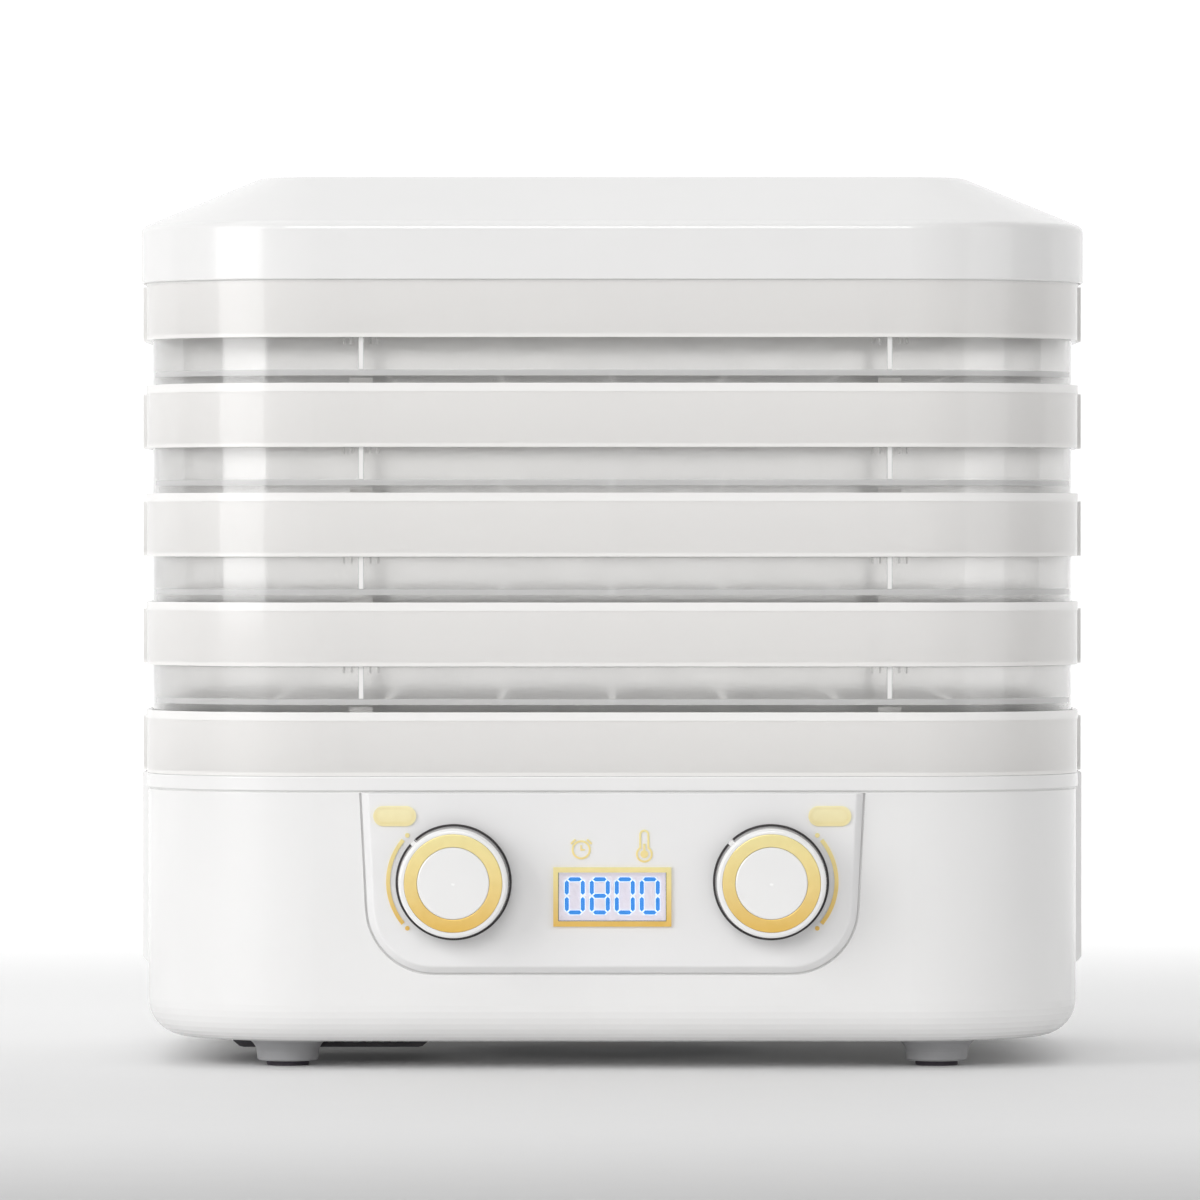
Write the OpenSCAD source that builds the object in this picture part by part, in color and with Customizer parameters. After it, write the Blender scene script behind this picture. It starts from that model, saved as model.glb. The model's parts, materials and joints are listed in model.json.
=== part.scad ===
// Five-tray electric food dehydrator, assembled from separate pieces.
// Millimetres. +Z up, -Y is the front (control panel), origin on the
// supporting surface at the centre of the overall footprint.

/* [Body] */
// Overall width, across the lid
body_w = 330; // [322:1:345]
// Depth of the lid, front to back
body_d = 256; // [250:1:275]
// Corner radius of the lid in plan
corner_r = 62; // [60:1:64]
// Wall thickness of the moulded base housing
shell_t = 2.4; // [2:0.1:2.8]

/* [Base] */
// Clearance between the supporting surface and the base housing
base_lift = 9.5; // [9:0.5:12]
// Height of the base housing itself
base_h = 86.5; // [85:0.5:90]
// Radius that rounds the lower edge of the base housing
base_edge_r = 13; // [10:1:18]
// Height of the trim ring on top of the base housing
ring_h = 5.5; // [5:0.5:7]
// Distance from the centre line to the feet, left and right
foot_x = 113; // [106:0.5:116]
// Distance from the centre line to the feet, front and back
foot_y = 88; // [84:0.5:92]

/* [Trays] */
// Height of the narrow lower wall of a tray
tray_neck_h = 15.8; // [15:0.2:18]
// Height of the wide upper rim of a tray
tray_rim_h = 22; // [20:0.2:24]
// Wall thickness of a tray rim
tray_t = 1.5; // [1.3:0.1:1.6]
// Width of one slot in the tray floor
slot_w = 3.6; // [3:0.2:3.8]

/* [Lid] */
// Height of the upright wall of the lid
lid_wall_h = 19.5; // [16:0.5:24]
// Height of the sloping shoulder of the lid
lid_rise = 17.4; // [14:0.2:20]
// Width of the sloping shoulder of the lid
lid_run = 42; // [36:1:46]

/* [Controls] */
// Distance from the centre line to each knob
knob_x = 54.5; // [50:0.5:58]
// Outer diameter of a knob
knob_d = 38.4; // [34:0.2:39]
// How far a knob stands out of the panel's face
knob_h = 14; // [12:0.5:16]
// How far a knob travels when it is pressed
knob_press = 0.8; // [0.4:0.1:0.9]
// Half width of the control panel
panel_hx = 86.4; // [84:0.2:90]

/* [Hidden] */
$fn = 96;

// Plan half sizes and the centres of the corner arcs
hx = body_w / 2;
hy = body_d / 2;
ax = hx - corner_r;
ay = hy - corner_r;

// Insets from the lid's outline
in_rim = 2;            // tray rim, outer face
in_neck = 4.1;         // tray neck, outer face
in_ring = 1.8;         // trim ring, outer face
in_shell = 2.4;        // base housing, outer face
in_well = in_neck - 0.4; // inner face of the well that the lowest tray sits in
in_floor = in_shell + 16; // edge of the housing's floor plate
proud = 0.6;           // how far the side grips and vents stand outside the lid

// Heights
z_base = base_lift;
z_shell = z_base + base_h;      // top edge of the base housing
z_stack = z_shell + ring_h;     // face that the lowest tray's rim rests on
pitch = tray_neck_h + tray_rim_h;
z_tray5 = z_stack - tray_neck_h;
z_lid = z_tray5 + 5 * pitch;    // top of the uppermost rim
lid_lap = 2.2;                  // how far the lid's skirt laps the uppermost rim
z_deck = z_tray5 - 1;           // upper face of the deck
deck_t = 2.2;
z_ledge = z_deck - deck_t;

// Planes of the control panel, in the body's own frame
y_shell = -(hy - in_shell);     // outer face of the housing's front wall
y_face = y_shell - 2.9;         // front face of the panel
y_back = y_shell + 1.2;         // back face of the panel
panel_r = 23;
panel_z0 = z_shell - 62.2;
panel_taper = 3.2;              // how much narrower the panel is at its foot, each side
inner_z0 = z_shell - 60;        // level that the side vents, the window and the control board are set out from
knob_z = z_shell - 30.7;
disp_z = z_shell - 35.9;
knob_gap = 1.4;
y_knob = y_face - knob_gap;     // rear edge of a knob
y_tip = y_knob - knob_h - 0.5;  // front of a knob's cap

// The body's centre lies behind the centre of the footprint, because the knobs stand forward
yc = (-y_tip - hy) / 2;

// Interior
floor_z = z_base + shell_t;
deck_screw_xy = [[-135, -75], [135, -75], [-135, 75], [135, 75], [0, 100]];
foot_xy = [[-foot_x, -foot_y], [foot_x, -foot_y], [-foot_x, foot_y], [foot_x, foot_y]];
board_xy = [[46, 46], [118, 46], [46, 90], [118, 90]];
board_z = floor_z + 8;
post_x = [-86.5, 95.5];             // the posts that carry the tray above, seen from the front
sleeve_z = 62;
gland_x = -70;
gland_y = 96;
gland_z = 5.3;

// ---------------------------------------------------------------- helpers
module place() translate([0, yc, 0]) children();

// Rounded rectangle, inset from the lid's outline
module rr(i) {
    square([2 * ax, 2 * (hy - i)], center = true);
    square([2 * (hx - i), 2 * ay], center = true);
    for (sx = [-1, 1], sy = [-1, 1]) translate([sx * ax, sy * ay]) circle(r = corner_r - i);
}
module rr_ring(i0, i1) difference() { rr(i0); rr(i1); }

// Sweeps a profile round the outline; the profile's x is measured from the corner arcs' centres
module sweep() {
    for (q = [[1, 1, 0], [-1, 1, 90], [-1, -1, 180], [1, -1, 270]])
        translate([q[0] * ax, q[1] * ay, 0]) rotate([0, 0, q[2]]) rotate_extrude(angle = 90) children();
    for (s = [0, 1]) {
        mirror([s, 0, 0]) translate([ax, 0, 0]) rotate([90, 0, 0]) linear_extrude(2 * ay, center = true) children();
        mirror([0, s, 0]) translate([0, ay, 0]) rotate([0, 0, 90]) rotate([90, 0, 0]) linear_extrude(2 * ax, center = true) children();
    }
}

function unit(v) = v / norm(v);
function turn(a) = a - 360 * floor((a + 180) / 360);
// Points that round the corner p1 of a polygon to radius r
function fillet(p0, p1, p2, r, n) =
    let (u = unit(p0 - p1), v = unit(p2 - p1), half = acos(u * v) / 2,
         c = p1 + unit(u + v) * (r / sin(half)), a = p1 + u * (r / tan(half)), b = p1 + v * (r / tan(half)),
         a0 = atan2(a[1] - c[1], a[0] - c[0]), da = turn(atan2(b[1] - c[1], b[0] - c[0]) - a0))
    [for (i = [0:n]) c + r * [cos(a0 + da * i / n), sin(a0 + da * i / n)]];
// A polygon's points with each corner rounded to its own radius; 0 keeps a corner sharp
function rounded(p, r, n = 5) = [for (i = [0:len(p) - 1])
    each (r[i] > 0 ? fillet(p[(i + len(p) - 1) % len(p)], p[i], p[(i + 1) % len(p)], r[i], n) : [p[i]])];

// Stands a shape drawn in XY up on the panel: x stays, y becomes z, and it grows forward from y0
module on_panel(y0, t) translate([0, y0, 0]) rotate([90, 0, 0]) linear_extrude(t) children();
// The same for a shape that turns about an axis along Y
module along_y(x, y0, z) translate([x, y0, z]) rotate([90, 0, 0]) children();

module stadium(w, h) {
    square([w - h, h], center = true);
    for (s = [-1, 1]) translate([s * (w - h) / 2, 0]) circle(d = h, $fn = 48);
}

// A tube along a smooth route
function crv(p, i, t) =
    let (n = len(p), a = p[max(i - 1, 0)], b = p[i], c = p[i + 1], d = p[min(i + 2, n - 1)])
    0.5 * ((2 * b) + (c - a) * t + (2 * a - 5 * b + 4 * c - d) * t * t + (3 * b - a - 3 * c + d) * t * t * t);
function route(p, k = 4) = concat([for (i = [0:len(p) - 2], j = [0:k - 1]) crv(p, i, j / k)], [p[len(p) - 1]]);
module tube(p, r, k = 8) {
    n = len(p);
    rings = [for (i = [0:n - 1])
        let (t = unit(p[min(i + 1, n - 1)] - p[max(i - 1, 0)]), u = unit(cross(t, [0.31, 0.43, -0.85])), v = cross(t, u))
        [for (j = [0:k - 1]) p[i] + r * (cos(360 * j / k) * u + sin(360 * j / k) * v)]];
    polyhedron(
        points = [for (q = rings) each q],
        faces = concat(
            [[for (j = [0:k - 1]) j]],
            [for (i = [0:n - 2], j = [0:k - 1]) each [
                [i * k + j, (i + 1) * k + j, i * k + (j + 1) % k],
                [i * k + (j + 1) % k, (i + 1) * k + j, (i + 1) * k + (j + 1) % k]]],
            [[for (j = [k - 1:-1:0]) (n - 1) * k + j]]));
}

// ---------------------------------------------------------------- lid
lid_slot_n = 13;
module lid() color("white") place() {
    z0 = z_lid - lid_lap;
    z1 = z0 + lid_wall_h;
    z2 = z1 + lid_rise;
    r = corner_r;
    rim_z = z_lid;
    t = 2.4;
    difference() {
        union() {
            sweep() polygon(rounded(
                [[r, z0], [r, z1], [r - lid_run, z2], [0, z2], [0, z2 - t], [r - lid_run - 0.4, z2 - t],
                 [r - 2.6, z1 - 2.2], [r - 2.6, rim_z], [r - 1.3, rim_z], [r - 1.3, z0]],
                [0.5, 3, 9, 0, 0, 6, 2, 0, 0, 0], 5));
            translate([-ax, -ay, z2 - t]) cube([2 * ax, 2 * ay, t]);
        }
        // Air outlet slots in the flat top
        translate([0, 0, z2 - t - 1]) linear_extrude(t + 2)
            for (i = [0:lid_slot_n - 1]) translate([(i - (lid_slot_n - 1) / 2) * 9, 0])
                rotate(90) stadium(64 - 1.1 * abs(i - (lid_slot_n - 1) / 2) * abs(i - (lid_slot_n - 1) / 2), 3);
    }
}

// ---------------------------------------------------------------- trays
in_neck_i = in_neck + 1.8;      // inner face of the neck
in_rim_i = in_rim + tray_t;     // inner face of the rim
floor_lift = 2.6;               // the floor sits this far above the foot of the neck
floor_t = 1.8;
grid_nx = 8;
grid_px = (2 * (hx - in_neck_i) - 8) / grid_nx;
grid_py = slot_w + 2.1;
grid_ny = floor((2 * (hy - in_neck_i) - 8) / grid_py);
// Whether a slot centred there lies clear of the rounded corners
function clear_of_corner(x, y) =
    let (dx = max(abs(x) + grid_px / 2 - 1.2 - ax, 0), dy = max(abs(y) + slot_w / 2 - ay, 0))
    norm([dx, dy]) < corner_r - in_neck_i - 3.5;

module tray_floor() difference() {
    rr(in_neck_i - 0.5);
    for (i = [0:grid_nx - 1], j = [0:grid_ny - 1])
        let (x = (i - (grid_nx - 1) / 2) * grid_px, y = (j - (grid_ny - 1) / 2) * grid_py)
            if (clear_of_corner(x, y)) translate([x, y]) square([grid_px - 2.4, slot_w], center = true);
    // Short slots where a whole one would run into a corner
    for (s = [-1, 1], i = [0, 1], j = [0:grid_ny - 1])
        let (x = s * ((grid_nx - 1) / 2 - i) * grid_px, y = (j - (grid_ny - 1) / 2) * grid_py,
             dy = max(abs(y) + slot_w / 2 - ay, 0), rr0 = corner_r - in_neck_i - 4,
             x0 = abs(x) - grid_px / 2 + 1.2, x1 = ax + (dy < rr0 ? sqrt(rr0 * rr0 - dy * dy) : -400))
            if (!clear_of_corner(x, y) && x1 - x0 > 5)
                translate([s * (x0 + x1) / 2, y]) square([x1 - x0, slot_w], center = true);
}

// A post that carries the tray above, with its gusset, two bosses and locating nub
module tray_post() {
    yo = hy - in_rim_i + 0.3;
    yi = hy - in_neck_i - 3.4;
    translate([-6.5, yi, tray_neck_h]) cube([13, yo - yi, tray_rim_h]);
    translate([-4, yi + 0.5, pitch - 1]) cube([8, hy - in_neck_i - 0.4 - yi - 0.5, 2.8]);
    translate([-0.8, yi - 2.2, floor_lift + 0.9]) cube([1.6, hy - in_neck_i + 0.3 - yi + 2.2, tray_neck_h - floor_lift - 0.4]);
    for (s = [-1, 1]) translate([s * 4.6, yi + 2.2, tray_neck_h - 2.4]) cylinder(r = 1.7, h = 3, $fn = 32);
}

module tray() {
    neck_z = tray_neck_h + 1.6;
    // Neck
    linear_extrude(neck_z) rr_ring(in_neck, in_neck_i);
    // Slotted floor
    translate([0, 0, floor_lift]) linear_extrude(floor_t) tray_floor();
    // Step, rim and the bead along its upper edge
    translate([0, 0, tray_neck_h]) linear_extrude(1.6) rr_ring(in_rim, in_neck_i);
    translate([0, 0, tray_neck_h]) linear_extrude(tray_rim_h) rr_ring(in_rim, in_rim_i);
    translate([0, 0, pitch - 3]) linear_extrude(3) rr_ring(in_rim - 0.3, in_rim_i);
    // Posts, front and back
    for (x = post_x) {
        translate([x, 0, 0]) tray_post();
        mirror([0, 1, 0]) translate([x, 0, 0]) tray_post();
    }
    // Finger grips on the two sides
    for (s = [0, 1]) mirror([s, 0, 0]) translate([0, 0, tray_neck_h + 0.1]) linear_extrude(tray_rim_h - 2.8)
        polygon([[hx - in_rim - 0.4, -44.5], [hx + proud, -41.5], [hx + proud, 41.5], [hx - in_rim - 0.4, 44.5]]);
}
module tray_n(n) color([0.93, 0.92, 0.93, 0.5]) place() translate([0, 0, z_tray5 + (5 - n) * pitch]) tray();
module tray_1() tray_n(1);
module tray_2() tray_n(2);
module tray_3() tray_n(3);
module tray_4() tray_n(4);
module tray_5() tray_n(5);

// ---------------------------------------------------------------- base
module top_ring() color("white") place() {
    translate([0, 0, z_shell]) linear_extrude(0.5) rr_ring(in_shell + 0.5, in_well);
    translate([0, 0, z_shell]) sweep() {
        r = corner_r - in_ring;
        ri = corner_r - in_well;
        polygon(rounded([[ri, 0.5], [r, 0.5], [r, ring_h], [ri, ring_h]], [0, 0.4, 0.6, 0], 3));
    }
}

// Rings of slots crossed by spokes; the grille over the fan and the one under it share it
module ring_slots(r0, r1, w, gap, spokes, spoke_w) difference() {
    for (r = [r0:w + gap:r1 - w]) difference() { circle(r = r + w); circle(r = r); }
    for (k = [0:spokes - 1]) rotate(360 * k / spokes) translate([0, -spoke_w / 2]) square([r1 + 5, spoke_w]);
}

module top_deck() color("whitesmoke") place() {
    difference() {
        translate([0, 0, z_ledge]) linear_extrude(deck_t) difference() {
            rr(in_well + 0.2);
            ring_slots(9, 50, 3.2, 2.4, 8, 3);
            for (a = [0:11]) rotate(a * 30 + 15) translate([66, 0]) square([12, 3.6], center = true);
            translate([72, 30]) circle(r = 2.6);
        }
    }
    // Sleeves for the housing screws, and the collar that centres the heater's shroud
    for (p = deck_screw_xy) translate([p[0], p[1], sleeve_z]) linear_extrude(z_ledge - sleeve_z)
        difference() { circle(r = 4); circle(r = 1.52); }
    translate([0, 0, z_ledge - 4]) linear_extrude(4) difference() { circle(r = 63); circle(r = 61.2); }
}

// Section of the housing's wall: x from the corner arcs' centres, y up
module wall_section() {
    r = corner_r - in_shell;
    ri = corner_r - in_floor;
    polygon(rounded(
        [[ri, z_base], [r, z_base], [r, z_shell], [corner_r - in_well, z_shell],
         [corner_r - in_well, z_ledge], [r - shell_t, z_ledge], [r - shell_t, floor_z], [ri, floor_z]],
        [0, base_edge_r, 0.4, 0, 0, 0, base_edge_r - shell_t, 0], 9));
}

module base_shell() color("white") place() {
    difference() {
        sweep() wall_section();
        // Pocket for the control panel, and the window behind it
        on_panel(y_back, 10) panel_outline(0.7);
        on_panel(y_shell + 8, 10) intersection() {
            panel_outline(-4);
            translate([-100, 0]) square([200, inner_z0 + 57]);
        }
        // Openings behind the side vents
        for (s = [-1, 1]) translate([s * (hx - in_shell - 1) - 6, -38, inner_z0 + 9]) cube([12, 76, 42]);
    }
}

// Floor plate of the housing, with the pillars and bosses that everything inside is screwed to
module base_floor() color("white") place() difference() {
    union() {
        translate([0, 0, z_base]) linear_extrude(shell_t) rr(in_floor);
        // Pillars for the deck's screws
        for (p = deck_screw_xy) translate([p[0], p[1], z_base + 0.6]) cylinder(r = 5.2, h = sleeve_z - z_base - 0.6);
        // Bosses for the feet, the power board and the motor's bracket
        for (p = foot_xy) translate([p[0], p[1], z_base + 0.6]) cylinder(r = 4.2, h = 8);
        for (p = board_xy) translate([p[0], p[1], z_base + 0.6]) cylinder(r = 3, h = board_z - z_base - 0.6);
        for (s = [-1, 1]) translate([s * 57, 0, z_base + 0.6]) cylinder(r = 4.4, h = 38.4 - z_base - 0.6);
    }
    for (p = deck_screw_xy) translate([p[0], p[1], 0]) {
        cylinder(r = 3.4, h = 54);
        cylinder(r = 1.7, h = 80);
    }
    for (p = foot_xy) translate([p[0], p[1], 0]) cylinder(r = 1.52, h = 40);
    for (p = board_xy) translate([p[0], p[1], board_z - 6]) cylinder(r = 1.27, h = 20);
    for (s = [-1, 1]) translate([s * 57, 0, 28]) cylinder(r = 1.52, h = 20);
    // Air intake under the fan
    cylinder(r = 50, h = 30);
    // Hole that the cord drops through, in front of its bush
    translate([gland_x, gland_y - 20, 0]) cylinder(r = 4.6, h = 30, $fn = 48);
    // Air slots over the underside cover
    for (k = [-3:3]) translate([-98.6 + k * 7 - 1.5, -60, 0]) cube([3, 34, 30]);
}

module intake_grille() color("gainsboro") place() {
    translate([0, 0, z_base - 1.5]) linear_extrude(1.5) difference() { circle(r = 54); ring_slots(14, 47, 3.6, 2.6, 6, 3.4); }
    translate([0, 0, z_base]) linear_extrude(shell_t) difference() { circle(r = 49.7); circle(r = 47.8); }
    // Hub disc, lapped by the spokes
    translate([0, 0, z_base]) linear_extrude(1.2) circle(r = 11);
}

module side_vent(s) color("white") place() mirror([s < 0 ? 1 : 0, 0, 0]) {
    x0 = hx - in_shell;
    x1 = hx + proud;
    xr = hx - in_ring;
    z0 = inner_z0 - 2;
    z1 = z_stack - 0.4;
    difference() {
        intersection() {
            translate([0, 0, z0 - 2]) linear_extrude(z1 - z0 + 4)
                polygon([[x0, -52], [x1 - 0.6, -48.6], [x1, -47.6], [x1, 47.6], [x1 - 0.6, 48.6], [x0, 52]]);
            rotate([90, 0, 0]) linear_extrude(140, center = true)
                polygon([[x0, z0 - 0.8], [x1 - 0.6, z0 + 1.2], [x1, z0 + 2], [x1, z1 - 0.6], [x1 - 0.4, z1], [xr, z1], [xr, z_shell], [x0, z_shell]]);
        }
        for (k = [0:6]) translate([x0 - 1, -34, inner_z0 + 12 + k * 5.4]) cube([6, 68, 2.6]);
    }
}
module side_vent_left() side_vent(-1);
module side_vent_right() side_vent(1);

// Shallow slotted cover over a row of air slots, on the underside behind the front left foot
module underside_cover() color("dimgray") place() translate([-98.6, -43, 0]) {
    difference() {
        intersection() {
            translate([0, 0, z_base - 4.5]) linear_extrude(4.5) square([70.6, 49], center = true);
            rotate([90, 0, 0]) linear_extrude(60, center = true)
                polygon([[-35.3, z_base], [-34.2, z_base - 2.4], [-32, z_base - 4.2], [-30.6, z_base - 4.5],
                         [30.6, z_base - 4.5], [32, z_base - 4.2], [34.2, z_base - 2.4], [35.3, z_base]]);
        }
        translate([-30, -22, z_base - 3.1]) cube([60, 44, 4]);
        for (k = [-6:6]) translate([k * 4.4 - 1, -30, z_base - 2.9]) cube([2, 60, 1.9]);
    }
}

module foot(p) color("silver") place() translate([p[0], p[1], 0]) difference() {
    rotate_extrude() polygon(concat(
        [[0, z_base]], [for (a = [0:10:80]) [16 - 5.2 * sin(a), z_base - 5.4 * (1 - cos(a)) ]],
        [[10.6, 2.3], [10, 1.7], [0, 1.7]]));
    translate([0, 0, -1]) cylinder(r = 3.4, h = 5.4, $fn = 48);
    translate([0, 0, -1]) cylinder(r = 1.7, h = 20, $fn = 48);
}
module foot_front_left() foot(foot_xy[0]);
module foot_front_right() foot(foot_xy[1]);
module foot_rear_left() foot(foot_xy[2]);
module foot_rear_right() foot(foot_xy[3]);
module foot_pads() color([0.32, 0.28, 0.34]) place() for (p = foot_xy) translate([p[0], p[1], 0])
    rotate_extrude() polygon([[0, 0], [7.2, 0], [7.4, 0.3], [7.4, 1.7], [0, 1.7]]);

// ---------------------------------------------------------------- control panel
// Corner points of the panel's outline grown by g, its sides leaning in and its lower corners round
function panel_pts(g) = rounded(
    [[-panel_hx - g, z_shell - 0.3], [panel_hx + g, z_shell - 0.3],
     [panel_hx + g - panel_taper, panel_z0 - g], [-panel_hx - g + panel_taper, panel_z0 - g]],
    [0, 0, panel_r + g, panel_r + g], 18);
module panel_outline(g) polygon(panel_pts(g));

// The panel is lofted through its outlines: inset and distance forward from the back face
module panel_block() {
    t = y_back - y_face;
    steps = [[0, 0], [0, 0.9], [-0.12, 1.25], [-0.4, 1.55], [-1.9, t - 0.5], [-2.25, t - 0.15], [-2.7, t]];
    rings = [for (k = steps) [for (q = panel_pts(k[0])) [q[0], q[1], k[1]]]];
    n = len(rings[0]);
    m = len(rings);
    rotate([90, 0, 0]) polyhedron(
        points = [for (r = rings) each r],
        faces = concat(
            [[for (j = [n - 1:-1:0]) j]],
            [for (i = [0:m - 2], j = [0:n - 1]) each [
                [i * n + j, i * n + (j + 1) % n, (i + 1) * n + j],
                [i * n + (j + 1) % n, (i + 1) * n + (j + 1) % n, (i + 1) * n + j]]],
            [[for (j = [0:n - 1]) (m - 1) * n + j]]));
}

module control_panel() color("white") place() difference() {
    translate([0, y_back, 0]) panel_block();
    // Holes for the encoders' bushings, and the display's window
    for (s = [-1, 1]) along_y(s * knob_x, y_back + 5, knob_z) cylinder(r = 3.6, h = 20, $fn = 48);
    translate([-18.7, y_face - 5, disp_z - 8.5]) cube([37.4, 20, 17]);
}

module display_bezel() color("gold") place() on_panel(y_face, 0.9) translate([0, disp_z]) difference() {
    square([40.6, 20.4], center = true);
    square([37.2, 16.8], center = true);
}
module display_lens() color([0.9, 0.89, 0.93, 0.5]) place() on_panel(y_face + 1.7, 1.5) translate([0, disp_z]) square([37.2, 16.8], center = true);
module display_module() color("lavender") place() on_panel(y_face + 10.2, 8.2) translate([0, disp_z]) square([36.8, 16.4], center = true);

// Seven-segment figures: a b c d e f g, clockwise from the top, then the middle bar
seg_on = [[1, 1, 1, 1, 1, 1, 0], [1, 1, 1, 1, 1, 1, 1], [1, 1, 1, 1, 1, 1, 0], [1, 1, 1, 1, 1, 1, 0]];
seg_h = 0.72;
module seg_bar(l) polygon([[-l / 2, 0], [-l / 2 + seg_h, seg_h], [l / 2 - seg_h, seg_h], [l / 2, 0], [l / 2 - seg_h, -seg_h], [-l / 2 + seg_h, -seg_h]]);
module figure(on) {
    w = 5.5;
    h = 11.4;
    at = [[0, h / 2, 0], [w / 2, h / 4, 90], [w / 2, -h / 4, 90], [0, -h / 2, 0], [-w / 2, -h / 4, 90], [-w / 2, h / 4, 90], [0, 0, 0]];
    for (k = [0:6]) if (on[k] > 0) translate([at[k][0], at[k][1]]) rotate(at[k][2]) seg_bar(at[k][2] == 0 ? 4.7 : 5.1);
}
module display_digits() color("dodgerblue") place() on_panel(y_face + 2, 0.2)
    for (k = [0:3]) translate([(k - 1.5) * 8.6, disp_z + 0.3]) figure(seg_on[k]);

// A clock over the display's left half, a thermometer over its right, and a scale beside each knob
module panel_print() color("gold") place() {
    on_panel(y_face, 0.3) translate([-10.7, disp_z + 16.2]) {
        difference() { circle(r = 3.3, $fn = 48); circle(r = 2.6, $fn = 48); }
        for (s = [-1, 1]) rotate(s * 45) translate([0, 3.95]) square([2.2, 0.7], center = true);
        translate([-0.3, -0.3]) square([0.6, 1.9]);
        translate([-0.3, -0.3]) square([1.6, 0.6]);
    }
    on_panel(y_face, 0.3) translate([11, disp_z + 14.7]) {
        difference() {
            union() { circle(r = 2.9, $fn = 48); translate([-1.75, 0]) square([3.5, 6.7]); translate([0, 6.7]) circle(r = 1.75, $fn = 48); }
            difference() {
                union() { circle(r = 2.2, $fn = 48); translate([-1.05, 0]) square([2.1, 6.7]); translate([0, 6.7]) circle(r = 1.05, $fn = 48); }
                circle(r = 1.35, $fn = 48);
                translate([-0.4, 0]) square([0.8, 3.6]);
            }
        }
    }
    // Curved scales, with a dot at either end
    for (s = [-1, 1]) on_panel(y_face, 0.3) translate([s * knob_x, knob_z]) mirror([s < 0 ? 1 : 0, 0]) {
        intersection() {
            difference() { circle(r = 23.3); circle(r = 21.9); }
            polygon([[0, 0], [40, 33], [40, -33]]);
        }
        for (t = [-45, 45]) rotate(t) translate([22.6, 0]) circle(r = 0.8, $fn = 32);
    }
}

// Blank raised badges over the knobs, each with a sunk border line
module label_plates() color("khaki") place() for (s = [-1, 1]) {
    on_panel(y_face, 0.35) translate([s * 74.8, disp_z + 27.8]) stadium(14.8, 7);
    on_panel(y_face - 0.35, 0.25) translate([s * 74.8, disp_z + 27.8]) difference() { stadium(14.8, 7); stadium(13.2, 5.4); }
    on_panel(y_face - 0.35, 0.2) translate([s * 74.8, disp_z + 27.8]) stadium(12.2, 4.4);
}

// ---------------------------------------------------------------- knobs
notch = 135; // where the pointer stands, anticlockwise from the right
module knob_body() {
    r = knob_d / 2;
    difference() {
        union() {
            rotate_extrude() polygon(rounded(
                [[r - 2.7, 0], [r - 0.5, 0], [r, 3.4], [r - 0.5, knob_h], [16.9, knob_h], [16.9, knob_h - 1.2], [12.35, knob_h - 1.2], [12.35, knob_h - 0.6], [0, knob_h - 0.6],
                 [0, knob_h - 3.8], [5.8, knob_h - 3.8], [16, knob_h - 3.8], [r - 2.7, knob_h - 7]],
                [0.3, 0.3, 0, 1.2, 0, 0, 0, 0, 0, 0, 0, 0, 0], 5));
            translate([0, 0, 2.6]) cylinder(r = 5.6, h = knob_h - 6.3, $fn = 48);
            rotate(notch) translate([r - 1.4, -0.9, 1.2]) cube([2.1, 1.8, knob_h - 3.2]);
        }
        translate([0, 0, -1]) cylinder(r = 3.02, h = knob_h - 3, $fn = 48);
        // Seat for the dark trim band
        difference() {
            translate([0, 0, 0.8]) cylinder(r = r + 4, h = 1.8);
            translate([0, 0, 0.7]) cylinder(r = r - 0.9, h = 2);
            rotate(notch) translate([r - 4, -1, 0]) cube([8, 2, 6]);
        }
    }
}
module knob_trim() difference() {
    translate([0, 0, 0.82]) cylinder(r = knob_d / 2 + 0.75, h = 1.76);
    translate([0, 0, 0]) cylinder(r = knob_d / 2 - 0.88, h = 4);
    rotate(notch) translate([knob_d / 2 - 4, -1.05, 0]) cube([8, 2.1, 6]);
}
module knob_ring() rotate_extrude() polygon(rounded(
    [[12.4, knob_h - 1.2], [16.85, knob_h - 1.2], [16.85, knob_h + 0.1], [12.4, knob_h + 0.1]], [0, 0, 0.3, 0.3], 3));
module knob_cap() rotate_extrude() polygon([[0, knob_h - 0.6], [12.3, knob_h - 0.6], [12.3, knob_h + 0.05], [11.9, knob_h + 0.3], [9, knob_h + 0.4], [4.5, knob_h + 0.48], [0, knob_h + 0.5]]);

module at_knob(s) place() along_y(s * knob_x, y_knob, knob_z) children();
module knob_left() color("white") at_knob(-1) knob_body();
module knob_right() color("white") at_knob(1) knob_body();
module knob_trim_left() color("dimgray") at_knob(-1) knob_trim();
module knob_trim_right() color("dimgray") at_knob(1) knob_trim();
module knob_ring_left() color("gold") at_knob(-1) knob_ring();
module knob_ring_right() color("gold") at_knob(1) knob_ring();
module knob_cap_left() color("whitesmoke") at_knob(-1) knob_cap();
module knob_cap_right() color("whitesmoke") at_knob(1) knob_cap();

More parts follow.
